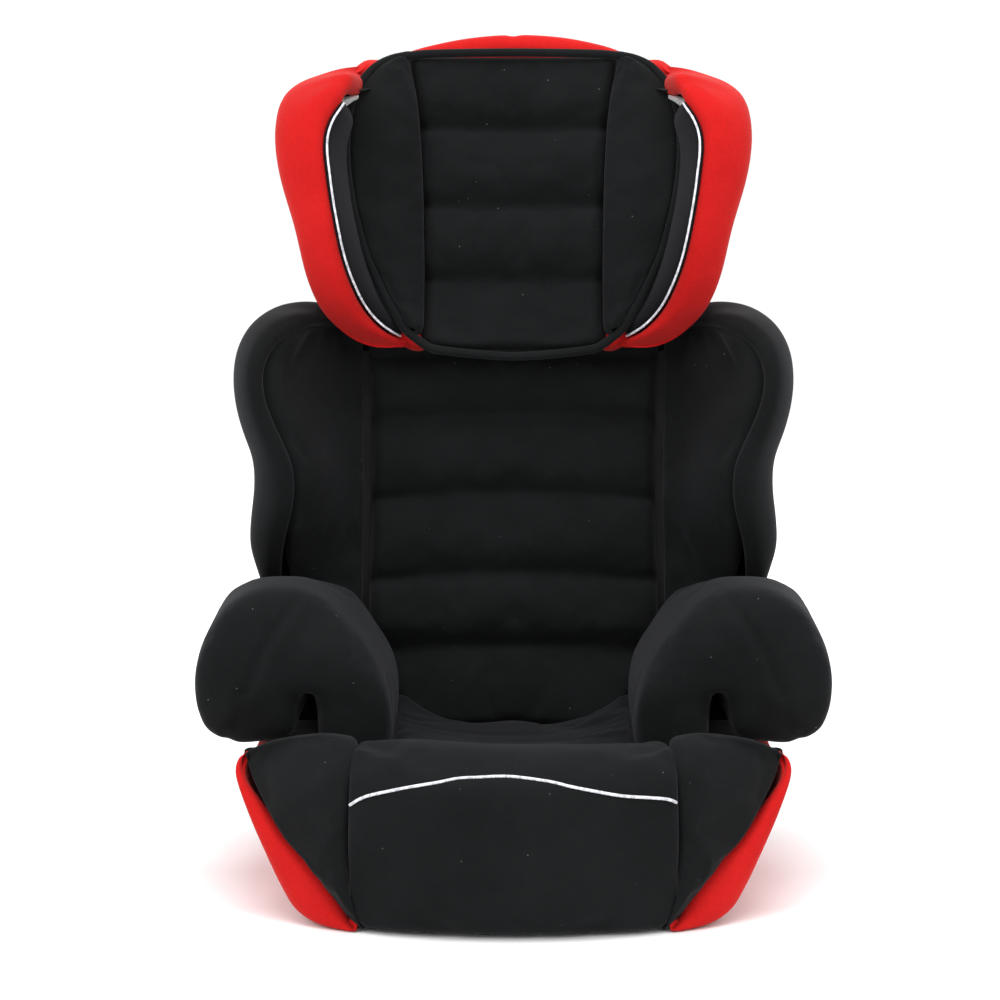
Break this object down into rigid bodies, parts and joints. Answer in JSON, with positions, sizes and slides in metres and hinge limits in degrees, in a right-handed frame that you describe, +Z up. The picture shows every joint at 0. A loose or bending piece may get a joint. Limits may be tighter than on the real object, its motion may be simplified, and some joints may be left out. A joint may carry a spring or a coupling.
{
  "type": "booster seat",
  "caption": "High-back child booster seat with padded base, two armrests, reclining winged backrest and a winged headrest that slides up on a notched stem.",
  "frame": {"origin": "on the floor, under the middle of the seat's overall box", "axes": "+X to the right as seen from the front, +Y to the rear, +Z up"},
  "size_m": [0.4412, 0.4164, 0.6056],
  "materials": {
    "shell_plastic": "moulded black plastic with a fine grain",
    "mechanism_plastic": "moulded dark grey plastic",
    "red_plastic": "moulded red plastic, semi-gloss",
    "steel": "zinc-plated steel",
    "rubber": "matt rubber",
    "black_fabric": "black stretch knit over foam",
    "red_fabric": "red stretch knit over foam",
    "silver_piping": "silver-grey woven piping cord",
    "foam": "moulded expanded foam beads"
  },
  "bodies": {
    "base": {"base_shell": "shell_plastic", "base_pan": "shell_plastic", "pan_screws": "steel", "seat_cushion": "black_fabric", "seat_bolster_left": "black_fabric", "seat_bolster_right": "black_fabric", "seat_side_left": "red_fabric", "seat_side_right": "red_fabric", "seat_piping": "silver_piping", "armrest_core_left": "shell_plastic", "armrest_core_right": "shell_plastic", "armrest_pad_left": "black_fabric", "armrest_pad_right": "black_fabric", "armrest_screws": "steel", "hinge_rod": "steel", "rod_caps": "mechanism_plastic", "rest_stops": "rubber"},
    "backrest": {"back_shell": "shell_plastic", "hinge_hooks": "mechanism_plastic", "hook_screws": "steel", "back_pad": "black_fabric", "back_bolster_left": "black_fabric", "back_bolster_right": "black_fabric", "back_wing_cover_left": "black_fabric", "back_wing_cover_right": "black_fabric", "guide_rail_left": "mechanism_plastic", "guide_rail_right": "mechanism_plastic", "height_rack": "mechanism_plastic"},
    "headrest": {"head_shell": "shell_plastic", "head_carriage": "mechanism_plastic", "carriage_screws": "steel", "mechanism_cover": "mechanism_plastic", "head_foam_left": "foam", "head_foam_right": "foam", "head_wing_cover_left": "red_fabric", "head_wing_cover_right": "red_fabric", "head_top_cover": "red_fabric", "head_liner_left": "black_fabric", "head_liner_right": "black_fabric", "head_piping_left": "silver_piping", "head_piping_right": "silver_piping", "head_pad": "black_fabric", "head_bolster_left": "black_fabric", "head_bolster_right": "black_fabric", "belt_guide_left": "red_plastic", "belt_guide_right": "red_plastic", "gate_pins": "steel"},
    "release_handle": {"release_handle": "red_plastic"},
    "latch": {"latch_bar": "steel", "latch_spring": "steel"},
    "belt_gate_left": {"belt_gate_left": "mechanism_plastic"},
    "belt_gate_right": {"belt_gate_right": "mechanism_plastic"}
  },
  "joints": [
    {"name": "recline", "type": "hinge", "parent": "base", "child": "backrest", "pos_m": [0, 0.148, 0.06], "axis": [-1, 0, 0], "range_deg": [0, 12]},
    {"name": "head_height", "type": "slide", "parent": "backrest", "child": "headrest", "axis": [0, 0.1564, 0.9877], "range_m": [0, 0.14]},
    {"name": "handle_pull", "type": "slide", "parent": "headrest", "child": "release_handle", "axis": [0, 0.1564, 0.9877], "range_m": [0, 0.008]},
    {"name": "latch_release", "type": "slide", "parent": "headrest", "child": "latch", "axis": [0, 0.9877, -0.1564], "range_m": [0, 0.005]},
    {"name": "gate_swing_left", "type": "hinge", "parent": "headrest", "child": "belt_gate_left", "pos_m": [-0.135, 0.15068, 0.44128], "axis": [0, -0.9877, 0.1564], "range_deg": [0, 40]},
    {"name": "gate_swing_right", "type": "hinge", "parent": "headrest", "child": "belt_gate_right", "pos_m": [0.135, 0.15068, 0.44128], "axis": [0, 0.9877, -0.1564], "range_deg": [0, 40]}
  ],
  "couplings": [
    {"joint": "latch_release", "follows": "handle_pull", "ratio": 0.625}
  ]
}
